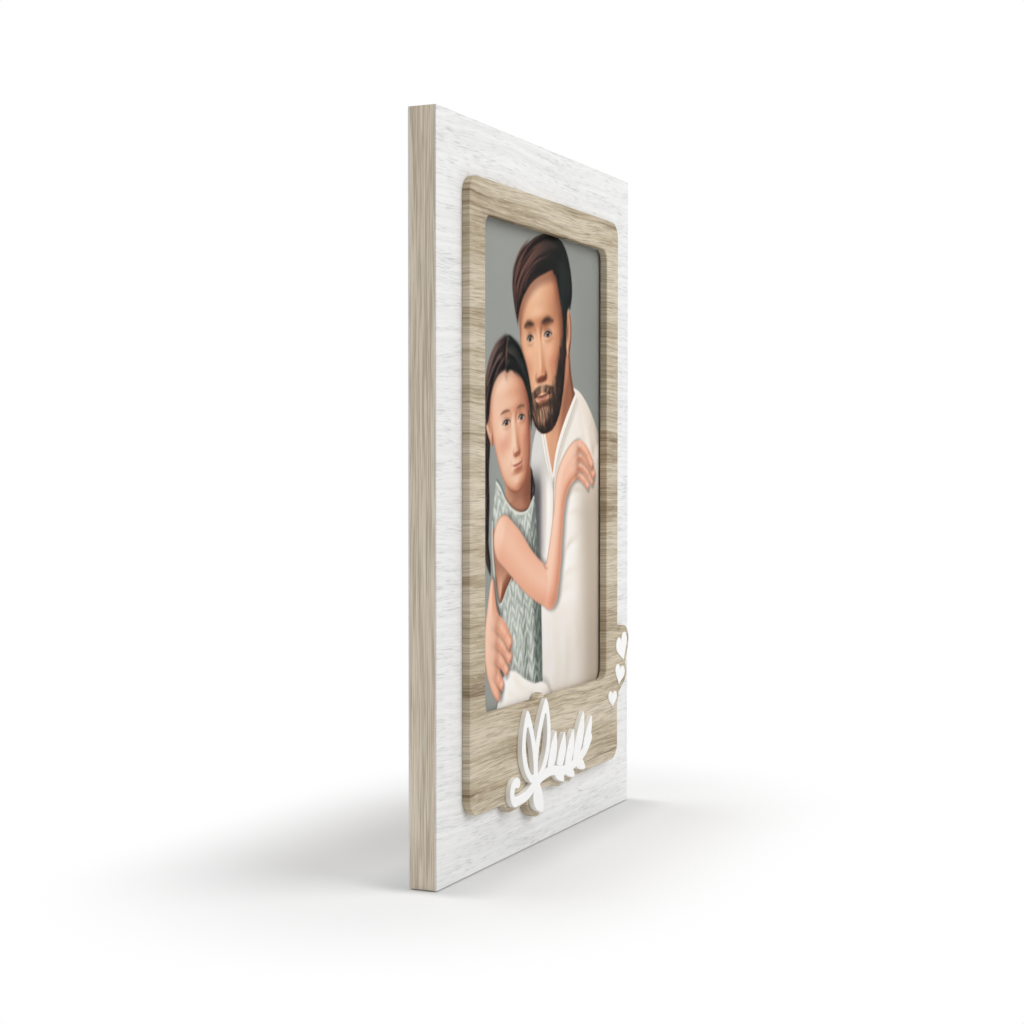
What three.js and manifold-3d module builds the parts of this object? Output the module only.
// A tabletop picture frame for one 10 x 15 cm photo. A white wood-grain board with oak edges
// carries an oak contour layer round the photo window. A white leaf sprig sits under the window
// and three white hearts beside it. The photo goes in from the back, behind a clear pane, and is
// held by a filler, a back panel with a folding easel leg, and four turn buttons.
//
// Millimetres. X runs to the right, Y to the back and Z up. The origin is the middle of the
// face that the board stands on.
import * as THREE from "three";
import { mergeVertices } from "three/addons/utils/BufferGeometryUtils.js";
import Module from "manifold-3d";

// Photo window
const windowWidth = 100;
const windowHeight = 150;
const windowCornerRadius = 4;

// Oak layer, and how much of it shows round the window
const oakBeside = 10.75;
const oakAbove = 10.5;
const oakBelow = 29.3;
const oakThickness = 2.6;
const oakCornerRadius = 5.6;

// Board: a core with edge bands and a skin over each face, and how much of it shows round the
// oak layer
const boardBeside = 16.75;
const boardAbove = 17.1;
const boardBelow = 18.1;
const boardDepth = 9;
const bandThickness = 0.5;
const frontSkinThickness = 0.4;
const rearSkinThickness = 0.4;

// What lies behind the window, front to back
const windowLip = 1.3; // how far the oak covers the pane's edge
const pocketPlay = 0.4; // free space round the pane, photo and filler
const paneThickness = 0.6;
const photoThickness = 0.3;
const fillerPlay = 0.3; // free space in front of the panel
const panelThickness = 3;
const panelLip = 5; // step that the panel rests on, all round the pocket
const panelPlay = 0.4;

// White ornaments on the oak layer, and the oak margin that shows round them
const ornamentThickness = 1.8;
const sprigReach = 46; // crossing of the leaves and the stem to the stem's right end
const sprigAside = 15.5; // the crossing to the left of the middle
const sprigRise = 3.4; // the crossing above the oak's lower edge
const stemHalfWidth = 1.6;
const curlRadius = 3;
const leafRim = 3; // width of an open leaf's rim
const sprigMargin = 1.6;
const heartWidth = 11; // the largest heart
const heartThickness = 0.3;
const heartMargin = 2.4;

// Turn buttons and their screws
const buttonLength = 18.5;
const buttonWidth = 9;
const buttonTipWidth = 7;
const buttonThickness = 1.5;
const buttonPlay = 0.3; // clearance before, behind and inside a button
const buttonInset = 6; // pivot to the panel's rebate
const buttonSpacing = 86; // between the upper and the lower pair
const screwRadius = 1.5;
const screwDepth = 5.5;
const screwHeadRadius = 3.4;
const screwHeadHeight = 1.8;

// Easel leg and its hinge
const hingeRise = 108.9; // pin above the panel's lower edge
const hingeWidth = 30;
const pinRadius = 1;
const pinPlay = 0.3;
const knuckleWall = 0.6;
const knuckleGap = 0.3;
const hingeClearance = 0.4; // knuckle to the panel
const leafThickness = 0.8;
const leafHeight = 16; // from the pin's axis to the leaf's far edge
const legThickness = 3;
const legTopWidth = 34;
const legFootWidth = 54;
const legFootHeight = 3; // folded foot above the table
const legFootRadius = 5;
const legPlay = 0.3; // folded leg to the panel
const rivetRadius = 1.2;
const rivetHeadRadius = 2.4;
const rivetHeadHeight = 0.9;
const rivetDepth = 2.2; // shank inside the panel or the leg
const rivetInset = 6; // from a leaf's ends
const leafCornerRadius = 2;

// Planes and places that follow from the sizes
const frontY = -boardDepth / 2;
const rearY = boardDepth / 2;
const coreFrontY = frontY + frontSkinThickness;
const coreRearY = rearY - rearSkinThickness;
const oakFrontY = frontY - oakThickness;
const windowLow = boardBelow + oakBelow;
const windowRect = { x: windowWidth / 2, low: windowLow, high: windowLow + windowHeight };
const oakRect = { x: windowRect.x + oakBeside, low: boardBelow, high: windowRect.high + oakAbove };
const boardHalfWidth = oakRect.x + boardBeside;
const boardHeight = oakRect.high + boardAbove;
const boardRect = { x: boardHalfWidth, low: 0, high: boardHeight };
const coreRect = grownRect(boardRect, -bandThickness);
const paneRect = grownRect(windowRect, windowLip);
const pocketRect = grownRect(paneRect, pocketPlay);
const rebateRect = grownRect(pocketRect, panelLip);
const panelRect = grownRect(rebateRect, -panelPlay);
const panelFrontY = rearY - panelThickness;
const hingeHeight = panelRect.low + hingeRise;
const photoFrontY = frontY + paneThickness;
const fillerFrontY = photoFrontY + photoThickness;

const wasm = await Module();
wasm.setup();

// Materials, one for each finish
const paint = (name, color, roughness, metalness = 0) =>
  new THREE.MeshStandardMaterial({ name, color, roughness, metalness });
const whiteGrain = paint("white_grain", 0xecebe9, 0.6);
const whiteFoil = paint("white_foil", 0xe9e8e5, 0.55);
const boardCore = paint("board_core", 0xb99a72, 0.85);
const oakFace = paint("oak_face", 0xc3b497, 0.65);
const oakEdge = paint("oak_edge", 0xb4a590, 0.65);
const whitePaint = paint("white_paint", 0xf6f5f2, 0.45);
const clearPane = new THREE.MeshStandardMaterial({
  name: "clear_pane",
  color: 0xf4f8f8,
  roughness: 0.05,
  transparent: true,
  opacity: 0.25,
});
const photoPaper = paint("photo_paper", 0x9a958c, 0.35);
const greyBoard = paint("grey_board", 0xa8a196, 0.9);
const hardboard = paint("hardboard", 0x7a5a3e, 0.7);
const zinc = paint("zinc", 0xa9abad, 0.35, 1);

const frame = new THREE.Group();

function addPiece(name, geometry, material, place = [0, 0, 0]) {
  const mesh = new THREE.Mesh(geometry, material);
  mesh.name = name;
  mesh.position.set(...place);
  frame.add(mesh);
  return mesh;
}

// A rectangle's record, moved out by a margin on each side
function grownRect(rect, margin) {
  return { x: rect.x + margin, low: rect.low - margin, high: rect.high + margin };
}

// Solids: a closed three.js geometry to a manifold-3d solid, and back
function solidOf(geometry) {
  const bare = geometry.index ? geometry.toNonIndexed() : geometry.clone();
  bare.deleteAttribute("normal");
  bare.deleteAttribute("uv");
  const merged = mergeVertices(bare, 1e-3);
  return new wasm.Manifold(
    new wasm.Mesh({
      numProp: 3,
      vertProperties: merged.attributes.position.array,
      triVerts: new Uint32Array(merged.index.array),
    }),
  );
}

function geometryOf(solid) {
  const mesh = solid.getMesh();
  const points = new Float32Array(mesh.numVert * 3);
  for (let i = 0; i < mesh.numVert; i++) {
    const start = i * mesh.numProp;
    points.set(mesh.vertProperties.subarray(start, start + 3), i * 3);
  }
  const indexed = new THREE.BufferGeometry();
  indexed.setAttribute("position", new THREE.BufferAttribute(points, 3));
  indexed.setIndex(new THREE.BufferAttribute(new Uint32Array(mesh.triVerts), 1));
  const flat = indexed.toNonIndexed();
  flat.computeVertexNormals();
  return flat;
}

// Base plus all of the added solids, less all of the removed ones
function carve(base, added, removed) {
  let solid = solidOf(base);
  for (const geometry of added) solid = solid.add(solidOf(geometry));
  for (const geometry of removed) solid = solid.subtract(solidOf(geometry));
  return geometryOf(solid);
}

// A sheet of the given front-view outline, from one plane of Y to another
function sheet(outline, fromY, toY) {
  const shape = Array.isArray(outline) ? new THREE.Shape(outline) : outline;
  const depth = toY - fromY;
  const made = new THREE.ExtrudeGeometry(shape, { depth, bevelEnabled: false, curveSegments: 18 });
  return made.rotateX(Math.PI / 2).translate(0, toY, 0);
}

function boxBetween(low, high) {
  const size = high.map((value, i) => value - low[i]);
  const middle = high.map((value, i) => (value + low[i]) / 2);
  return new THREE.BoxGeometry(...size).translate(...middle);
}

function rectSheet(rect, fromY, toY) {
  return boxBetween([-rect.x, fromY, rect.low], [rect.x, toY, rect.high]);
}

// A rod along Y
function rodY(x, z, radius, fromY, toY, sides = 32) {
  const made = new THREE.CylinderGeometry(radius, radius, toY - fromY, sides);
  return made.translate(x, (fromY + toY) / 2, z);
}

// Front-view outlines
function roundedRect(rect, radius) {
  const shape = new THREE.Shape();
  shape.moveTo(-rect.x + radius, rect.low);
  shape.absarc(rect.x - radius, rect.low + radius, radius, -Math.PI / 2, 0);
  shape.absarc(rect.x - radius, rect.high - radius, radius, 0, Math.PI / 2);
  shape.absarc(-rect.x + radius, rect.high - radius, radius, Math.PI / 2, Math.PI);
  shape.absarc(-rect.x + radius, rect.low + radius, radius, Math.PI, Math.PI * 1.5);
  return shape;
}

const vec = (x, y) => new THREE.Vector2(x, y);

// A leaf: its half width swells as a power of a sine from base to tip, and its middle line
// bows sideways. An inset gives the outline of the opening inside an open leaf.
function leafOutline(leaf, inset = 0) {
  const along = leaf.tip.clone().sub(leaf.base);
  const across = vec(-along.y, along.x).normalize();
  const steps = 28;
  const left = [];
  const right = [];
  for (let i = 0; i <= steps; i++) {
    const s = i / steps;
    const half = leaf.halfWidth * Math.sin(Math.PI * s ** 0.85) ** 0.7 - inset;
    if (inset && half < inset * 0.1) continue;
    const middle = leaf.base.clone().addScaledVector(along, s);
    middle.addScaledVector(across, leaf.bow * 4 * s * (1 - s));
    left.push(middle.clone().addScaledVector(across, Math.max(half, 0)));
    right.push(middle.clone().addScaledVector(across, -Math.max(half, 0)));
  }
  if (inset) return [...right, ...left.reverse()];
  return [...right, ...left.reverse().slice(1, -1)];
}

// A band along a curve, with round ends
function strokeOutline(points, halfWidth) {
  const count = points.length;
  const headings = points.map((point, i) => {
    const before = points[Math.max(i - 1, 0)];
    const after = points[Math.min(i + 1, count - 1)];
    return Math.atan2(after.y - before.y, after.x - before.x);
  });
  const offset = (i, turn) => {
    const angle = headings[i] + turn;
    return vec(points[i].x + halfWidth * Math.cos(angle), points[i].y + halfWidth * Math.sin(angle));
  };
  const quarter = Math.PI / 2;
  const capSteps = 12;
  const outline = points.map((_, i) => offset(i, -quarter));
  for (let k = 1; k < capSteps; k++) outline.push(offset(count - 1, -quarter + (Math.PI * k) / capSteps));
  for (let i = count - 1; i >= 0; i--) outline.push(offset(i, quarter));
  for (let k = 1; k < capSteps; k++) outline.push(offset(0, quarter + (Math.PI * k) / capSteps));
  return outline;
}

// A heart from sine and cosine terms, scaled to its width and height and turned about its middle
function heartOutline(heart) {
  const steps = 64;
  const outline = [];
  const middle = vec(heart.side, heart.rise).multiplyScalar(heartUnit);
  middle.add(vec(oakRect.x, oakRect.low));
  for (let i = 0; i < steps; i++) {
    const t = (-2 * Math.PI * i) / steps;
    const across = 16 * Math.sin(t) ** 3;
    const up = 13 * Math.cos(t) - 5 * Math.cos(2 * t) - 2 * Math.cos(3 * t) - Math.cos(4 * t);
    const point = vec((across / 32) * heart.width, ((up + 2.6) / 28.9) * heart.height);
    point.multiplyScalar(heartUnit);
    outline.push(point.rotateAround(vec(0, 0), heart.turn).add(middle));
  }
  return outline;
}

// The convex outline that runs at a margin round a set of points: the hull of small circles
function padOutline(points, margin) {
  const sides = 28;
  const spread = points.flatMap((point) =>
    Array.from({ length: sides }, (_, k) => {
      const angle = (2 * Math.PI * k) / sides;
      return vec(point.x + margin * Math.cos(angle), point.y + margin * Math.sin(angle));
    }),
  );
  spread.sort((a, b) => a.x - b.x || a.y - b.y);
  const turnsLeft = (a, b, c) => (b.x - a.x) * (c.y - a.y) - (b.y - a.y) * (c.x - a.x) > 1e-6;
  const chain = (list) => {
    const kept = [];
    for (const point of list) {
      while (kept.length > 1 && !turnsLeft(kept.at(-2), kept.at(-1), point)) kept.pop();
      kept.push(point);
    }
    return kept.slice(0, -1);
  };
  return [...chain(spread), ...chain(spread.reverse())];
}

// Drawing of the sprig, from the point where its leaves cross the stem: where each leaf starts
// and ends, its half width and how far its middle line bows. The drawn stem reaches 46 units.
const sprigUnit = sprigReach / 46;
const leafDrawing = [
  { base: vec(-1, -0.5), tip: vec(-7, 24.1), halfWidth: 5.4, bow: 2, open: true },
  { base: vec(0, 0), tip: vec(8, 26.1), halfWidth: 5.8, bow: -1.6, open: true },
  { base: vec(-0.5, 0.5), tip: vec(5.5, -10.1), halfWidth: 3.6, bow: -1.2, open: false },
  { base: vec(9.5, 1), tip: vec(16, 14.5), halfWidth: 2.9, bow: -0.9, open: false },
  { base: vec(17, 0.5), tip: vec(23.5, 13), halfWidth: 2.8, bow: -0.9, open: false },
  { base: vec(24, 0.5), tip: vec(31, 13), halfWidth: 2.8, bow: -0.9, open: false },
  { base: vec(31, 1.5), tip: vec(40, 17.8), halfWidth: 3, bow: -1, open: false },
  { base: vec(39.5, 4), tip: vec(47.3, 15.5), halfWidth: 2.4, bow: -0.8, open: false },
  { base: vec(14.5, 1.1), tip: vec(23, -3.2), halfWidth: 2.1, bow: 0.8, open: false },
  { base: vec(23, 0.5), tip: vec(32, -2.9), halfWidth: 2, bow: 0.7, open: false },
  { base: vec(32.5, 1.5), tip: vec(41.5, -1.7), halfWidth: 2, bow: 0.6, open: false },
];
const leaves = leafDrawing.map((leaf) => ({
  base: leaf.base.multiplyScalar(sprigUnit),
  tip: leaf.tip.multiplyScalar(sprigUnit),
  halfWidth: leaf.halfWidth * sprigUnit,
  bow: leaf.bow * sprigUnit,
  open: leaf.open,
}));
const curlMiddle = vec(-15.7, -0.5).multiplyScalar(sprigUnit);
const stemBends = [
  vec(-7.5, -2.8),
  vec(1.5, 0.5),
  vec(11.5, 1.9),
  vec(23.5, 0.3),
  vec(33.5, 1.7),
  vec(41.5, 4.5),
  vec(46, 8.1),
].map((bend) => bend.multiplyScalar(sprigUnit));

// Points of the stem: a curl at the left, then a wave that rises to the right
function stemPoints() {
  const curlSteps = 22;
  const onCurl = (share) => {
    const angle = THREE.MathUtils.lerp(Math.PI / 3, Math.PI * 1.45, share);
    return vec(curlMiddle.x + curlRadius * Math.cos(angle), curlMiddle.y + curlRadius * Math.sin(angle));
  };
  const curl = Array.from({ length: curlSteps }, (_, i) => onCurl(i / curlSteps));
  const wave = new THREE.SplineCurve([onCurl(1), ...stemBends]).getPoints(60);
  return [...curl, ...wave];
}

// Outlines in the front view of the frame: the sprig's crossing stands above the oak's lower edge
const onSprig = (outline) =>
  outline.map((point) => vec(point.x - sprigAside, point.y + oakRect.low + sprigRise));

// Drawing of the hearts beside the window, the largest on top and 11 units wide: side is how far
// the middle lies beyond the oak frame's right edge, and rise its height above the lower edge
const heartUnit = heartWidth / 11;
const hearts = [
  { name: "heart_large", side: 4.25, rise: 38.6, width: 11, height: 10.2, turn: 0.3 },
  { name: "heart_middle", side: 1.75, rise: 29.2, width: 9.5, height: 7.4, turn: -0.22 },
  { name: "heart_small", side: -5.25, rise: 21.2, width: 8.3, height: 6.1, turn: -0.05 },
];

// Edge bands between the skins: the two at the sides run the full height, the other two lie
// between them
function addBands() {
  const bands = {
    edge_band_left: [[-boardRect.x, boardRect.low], [-coreRect.x, boardRect.high]],
    edge_band_right: [[coreRect.x, boardRect.low], [boardRect.x, boardRect.high]],
    edge_band_bottom: [[-coreRect.x, boardRect.low], [coreRect.x, coreRect.low]],
    edge_band_top: [[-coreRect.x, coreRect.high], [coreRect.x, boardRect.high]],
  };
  for (const [name, [low, high]] of Object.entries(bands)) {
    addPiece(name, boxBetween([low[0], coreFrontY, low[1]], [high[0], coreRearY, high[1]]), oakEdge);
  }
}

// Pivots of the turn buttons, in the rim beside the panel
const pivotX = rebateRect.x + buttonInset;
const windowMiddleZ = (windowRect.low + windowRect.high) / 2;
const pivots = [
  { side: "left", level: "upper", x: -pivotX, z: windowMiddleZ + buttonSpacing / 2 },
  { side: "right", level: "upper", x: pivotX, z: windowMiddleZ + buttonSpacing / 2 },
  { side: "left", level: "lower", x: -pivotX, z: windowMiddleZ - buttonSpacing / 2 },
  { side: "right", level: "lower", x: pivotX, z: windowMiddleZ - buttonSpacing / 2 },
];

// The core and its two skins share the pocket, the rebate and the screw holes
function addBoard() {
  const beyond = 1; // cutters reach this far past a face
  const pocket = rectSheet(pocketRect, frontY - beyond, rearY + beyond);
  const rebate = rectSheet(rebateRect, panelFrontY, rearY + beyond);
  const holeRadius = screwRadius + buttonPlay;
  const holeFloorY = rearY - screwDepth - buttonPlay;
  const holes = pivots.map(({ x, z }) => rodY(x, z, holeRadius, holeFloorY, rearY + beyond));
  const core = rectSheet(coreRect, coreFrontY, coreRearY);
  addPiece("board_core", carve(core, [], [pocket, rebate, ...holes]), boardCore);
  const frontSkin = rectSheet(boardRect, frontY, coreFrontY);
  addPiece("front_skin", carve(frontSkin, [], [pocket]), whiteGrain);
  const rearSkin = rectSheet(boardRect, coreRearY, rearY);
  addPiece("rear_skin", carve(rearSkin, [], [pocket, rebate, ...holes]), whiteFoil);
}

// The oak layer: a rounded frame, plus pads of oak that reach round the sprig and the hearts
function addOakLayer() {
  const pads = [
    ...leaves.map((leaf) => onSprig(padOutline(leafOutline(leaf), sprigMargin))),
    ...stemPads().map(onSprig),
    ...hearts.flatMap(heartPads),
  ].map((outline) => sheet(outline, oakFrontY, frontY));
  const beyond = 1;
  const opening = sheet(roundedRect(windowRect, windowCornerRadius), oakFrontY - beyond, frontY + beyond);
  const plate = sheet(roundedRect(oakRect, oakCornerRadius), oakFrontY, frontY);
  const ring = solidOf(plate).subtract(solidOf(opening));
  const layer = pads.reduce((solid, pad) => solid.add(solidOf(pad)), ring);
  addPiece("oak_layer", geometryOf(layer), oakFace);
}

// Pads under the stem, one for every few of its points
function stemPads() {
  const points = stemPoints();
  const stride = 9;
  const pads = [];
  for (let i = 0; i < points.length - 1; i += stride) {
    pads.push(padOutline(points.slice(i, i + stride + 1), stemHalfWidth + sprigMargin));
  }
  return pads;
}

// One pad for each lobe, so that the oak follows the notch between them
function heartPads(heart) {
  const outline = heartOutline(heart);
  const half = outline.length / 2;
  const lobes = [outline.slice(0, half + 1), [...outline.slice(half), outline[0]]];
  return lobes.map((lobe) => padOutline(lobe, heartMargin));
}

function addOrnaments() {
  const faceY = oakFrontY - ornamentThickness;
  const stem = onSprig(strokeOutline(stemPoints(), stemHalfWidth));
  let sprig = solidOf(sheet(stem, faceY, oakFrontY));
  for (const leaf of leaves) {
    let blade = solidOf(sheet(onSprig(leafOutline(leaf)), faceY, oakFrontY));
    if (leaf.open) {
      const opening = sheet(onSprig(leafOutline(leaf, leafRim)), faceY - 1, oakFrontY + 1);
      blade = blade.subtract(solidOf(opening));
    }
    sprig = sprig.add(blade);
  }
  addPiece("leaf_sprig", geometryOf(sprig), whitePaint);
  for (const heart of hearts) {
    const made = sheet(heartOutline(heart), oakFrontY - heartThickness, oakFrontY);
    addPiece(heart.name, made, whitePaint);
  }
}

// Pane, photo and filler lie in the pocket, and the panel closes the rebate behind them
function addPhotoStack() {
  addPiece("clear_pane", rectSheet(paneRect, frontY, photoFrontY), clearPane);
  addPiece("photo_print", rectSheet(paneRect, photoFrontY, fillerFrontY), photoPaper);
  addPiece("filler_board", rectSheet(paneRect, fillerFrontY, panelFrontY - fillerPlay), greyBoard);
  const holes = rivetPlaces(1).map(({ x, z }) =>
    rodY(x, z, rivetRadius + pinPlay, rearY - rivetDepth - pinPlay, rearY + 1),
  );
  addPiece("back_panel", carve(rectSheet(panelRect, panelFrontY, rearY), [], holes), hardboard);
}

// Hinge geometry shared by both leaves: the pin stands behind the panel by a knuckle's radius
const knuckleRadius = pinRadius + pinPlay + knuckleWall;
const pinY = rearY + hingeClearance + knuckleRadius;
const legFrontY = rearY + legPlay;
const legRearY = legFrontY + legThickness;
const legTop = hingeHeight - knuckleRadius - knuckleGap;

// Rivets sit halfway along a leaf: above the pin with side 1, below it with side -1
function rivetPlaces(side) {
  const z = hingeHeight + side * (leafHeight + knuckleRadius) * 0.5;
  return [-1, 1].map((hand) => ({ x: hand * (hingeWidth / 2 - rivetInset), z }));
}

// A leaf: a plate with rivet holes, and tubes round the pin over the stretches given in X
function hingeLeaf(side, fromY, toY, stretches) {
  const reach = knuckleRadius + knuckleGap;
  const half = hingeWidth / 2;
  const near = hingeHeight + side * reach;
  const far = hingeHeight + side * leafHeight;
  const bend = far - side * leafCornerRadius;
  const shape = new THREE.Shape();
  shape.moveTo(-half, near);
  shape.lineTo(half, near);
  shape.lineTo(half, bend);
  shape.quadraticCurveTo(half, far, half - leafCornerRadius, far);
  shape.lineTo(-half + leafCornerRadius, far);
  shape.quadraticCurveTo(-half, far, -half, bend);
  const plate = sheet(shape, fromY, toY);
  const along = (radius, low, high) =>
    new THREE.CylinderGeometry(radius, radius, high - low, 32)
      .rotateZ(Math.PI / 2)
      .translate((low + high) / 2, pinY, hingeHeight);
  const tabs = stretches.map(([low, high]) => {
    const ends = [hingeHeight, hingeHeight + side * (reach + 0.5)];
    return boxBetween([low, fromY, Math.min(...ends)], [high, toY, Math.max(...ends)]);
  });
  const tubes = stretches.map(([low, high]) => along(knuckleRadius, low, high));
  const bore = along(pinRadius + pinPlay, -hingeWidth / 2 - 1, hingeWidth / 2 + 1);
  const holes = rivetPlaces(side).map(({ x, z }) => rodY(x, z, rivetRadius + pinPlay, fromY - 1, toY + 1));
  return carve(plate, [...tabs, ...tubes], [bore, ...holes]);
}

// A rivet with a domed head on the rear side and its shank towards the front
function rivet(x, seatY, z) {
  const profile = [
    vec(0, -rivetDepth - leafThickness),
    vec(rivetRadius, -rivetDepth - leafThickness),
    vec(rivetRadius, 0),
    vec(rivetHeadRadius, 0),
    vec(rivetHeadRadius * 0.94, rivetHeadHeight * 0.45),
    vec(rivetHeadRadius * 0.7, rivetHeadHeight * 0.82),
    vec(rivetHeadRadius * 0.36, rivetHeadHeight * 0.97),
    vec(0, rivetHeadHeight),
  ];
  return new THREE.LatheGeometry(profile, 32).translate(x, seatY, z);
}

function addHinge() {
  const third = hingeWidth / 6;
  const middle = [[-third + knuckleGap / 2, third - knuckleGap / 2]];
  const outer = [[-hingeWidth / 2, -third - knuckleGap / 2], [third + knuckleGap / 2, hingeWidth / 2]];
  const panelLeafRearY = rearY + leafThickness;
  const legLeafRearY = legRearY + leafThickness;
  addPiece("hinge_leaf_panel", hingeLeaf(1, rearY, panelLeafRearY, middle), zinc);
  addPiece("hinge_leaf_leg", hingeLeaf(-1, legRearY, legLeafRearY, outer), zinc);
  const pin = new THREE.CylinderGeometry(pinRadius, pinRadius, hingeWidth, 24).rotateZ(Math.PI / 2);
  addPiece("hinge_pin", pin, zinc, [0, pinY, hingeHeight]);
  rivetPlaces(1).forEach(({ x, z }, i) => addPiece(`panel_rivet_${i + 1}`, rivet(x, panelLeafRearY, z), zinc));
  rivetPlaces(-1).forEach(({ x, z }, i) => addPiece(`leg_rivet_${i + 1}`, rivet(x, legLeafRearY, z), zinc));
}

// The easel leg widens towards a foot with round corners
function addLeg() {
  const top = legTopWidth / 2;
  const foot = legFootWidth / 2;
  const shape = new THREE.Shape();
  shape.moveTo(-top, legTop);
  shape.lineTo(-foot, legFootHeight + legFootRadius * 2);
  shape.quadraticCurveTo(-foot, legFootHeight, -foot + legFootRadius * 1.5, legFootHeight);
  shape.lineTo(foot - legFootRadius * 1.5, legFootHeight);
  shape.quadraticCurveTo(foot, legFootHeight, foot, legFootHeight + legFootRadius * 2);
  shape.lineTo(top, legTop);
  const holes = rivetPlaces(-1).map(({ x, z }) =>
    rodY(x, z, rivetRadius + pinPlay, legRearY - rivetDepth - pinPlay, legRearY + 1),
  );
  addPiece("easel_leg", carve(sheet(shape, legFrontY, legRearY), [], holes), hardboard);
}

// A turn button reaches over the panel from its pivot, wider at the pivot than at the tip
function addButtons() {
  const fromY = rearY + buttonPlay;
  const toY = fromY + buttonThickness;
  const tipReach = buttonLength - buttonWidth / 2 - buttonTipWidth / 2;
  for (const { side, level, x, z } of pivots) {
    const inward = -Math.sign(x);
    const round = padOutline([vec(0, 0)], buttonWidth / 2);
    const tip = padOutline([vec(inward * tipReach, 0)], buttonTipWidth / 2);
    const outline = padOutline([...round, ...tip], buttonWidth * 0.005);
    const plate = sheet(outline, fromY, toY);
    const hole = rodY(0, 0, screwRadius + buttonPlay, fromY - 1, toY + 1);
    const name = `${level}_${side}`;
    addPiece(`turn_button_${name}`, carve(plate, [], [hole]), zinc, [x, 0, z]);
    addPiece(`button_screw_${name}`, buttonScrew(toY + buttonPlay), zinc, [x, 0, z]);
  }
}

// A pan-head screw with a cross recess, its shank towards the front
function buttonScrew(seatY) {
  const shankEnd = rearY - screwDepth - seatY;
  const profile = [
    vec(0, shankEnd),
    vec(screwRadius * 0.3, shankEnd),
    vec(screwRadius, shankEnd + screwRadius * 1.6),
    vec(screwRadius, 0),
    vec(screwHeadRadius, 0),
    vec(screwHeadRadius, screwHeadHeight * 0.35),
    vec(screwHeadRadius * 0.86, screwHeadHeight * 0.75),
    vec(screwHeadRadius * 0.5, screwHeadHeight),
    vec(0, screwHeadHeight),
  ];
  const body = new THREE.LatheGeometry(profile, 32);
  const arm = screwHeadRadius * 0.62;
  const half = screwHeadRadius * 0.13;
  const floor = screwHeadHeight * 0.35;
  const recess = [
    boxBetween([-arm, floor, -half], [arm, screwHeadHeight + 1, half]),
    boxBetween([-half, floor, -arm], [half, screwHeadHeight + 1, arm]),
  ];
  return carve(body, [], recess).translate(0, seatY, 0);
}

addBoard();
addBands();
addOakLayer();
addOrnaments();
addPhotoStack();
addHinge();
addLeg();
addButtons();

export default frame;
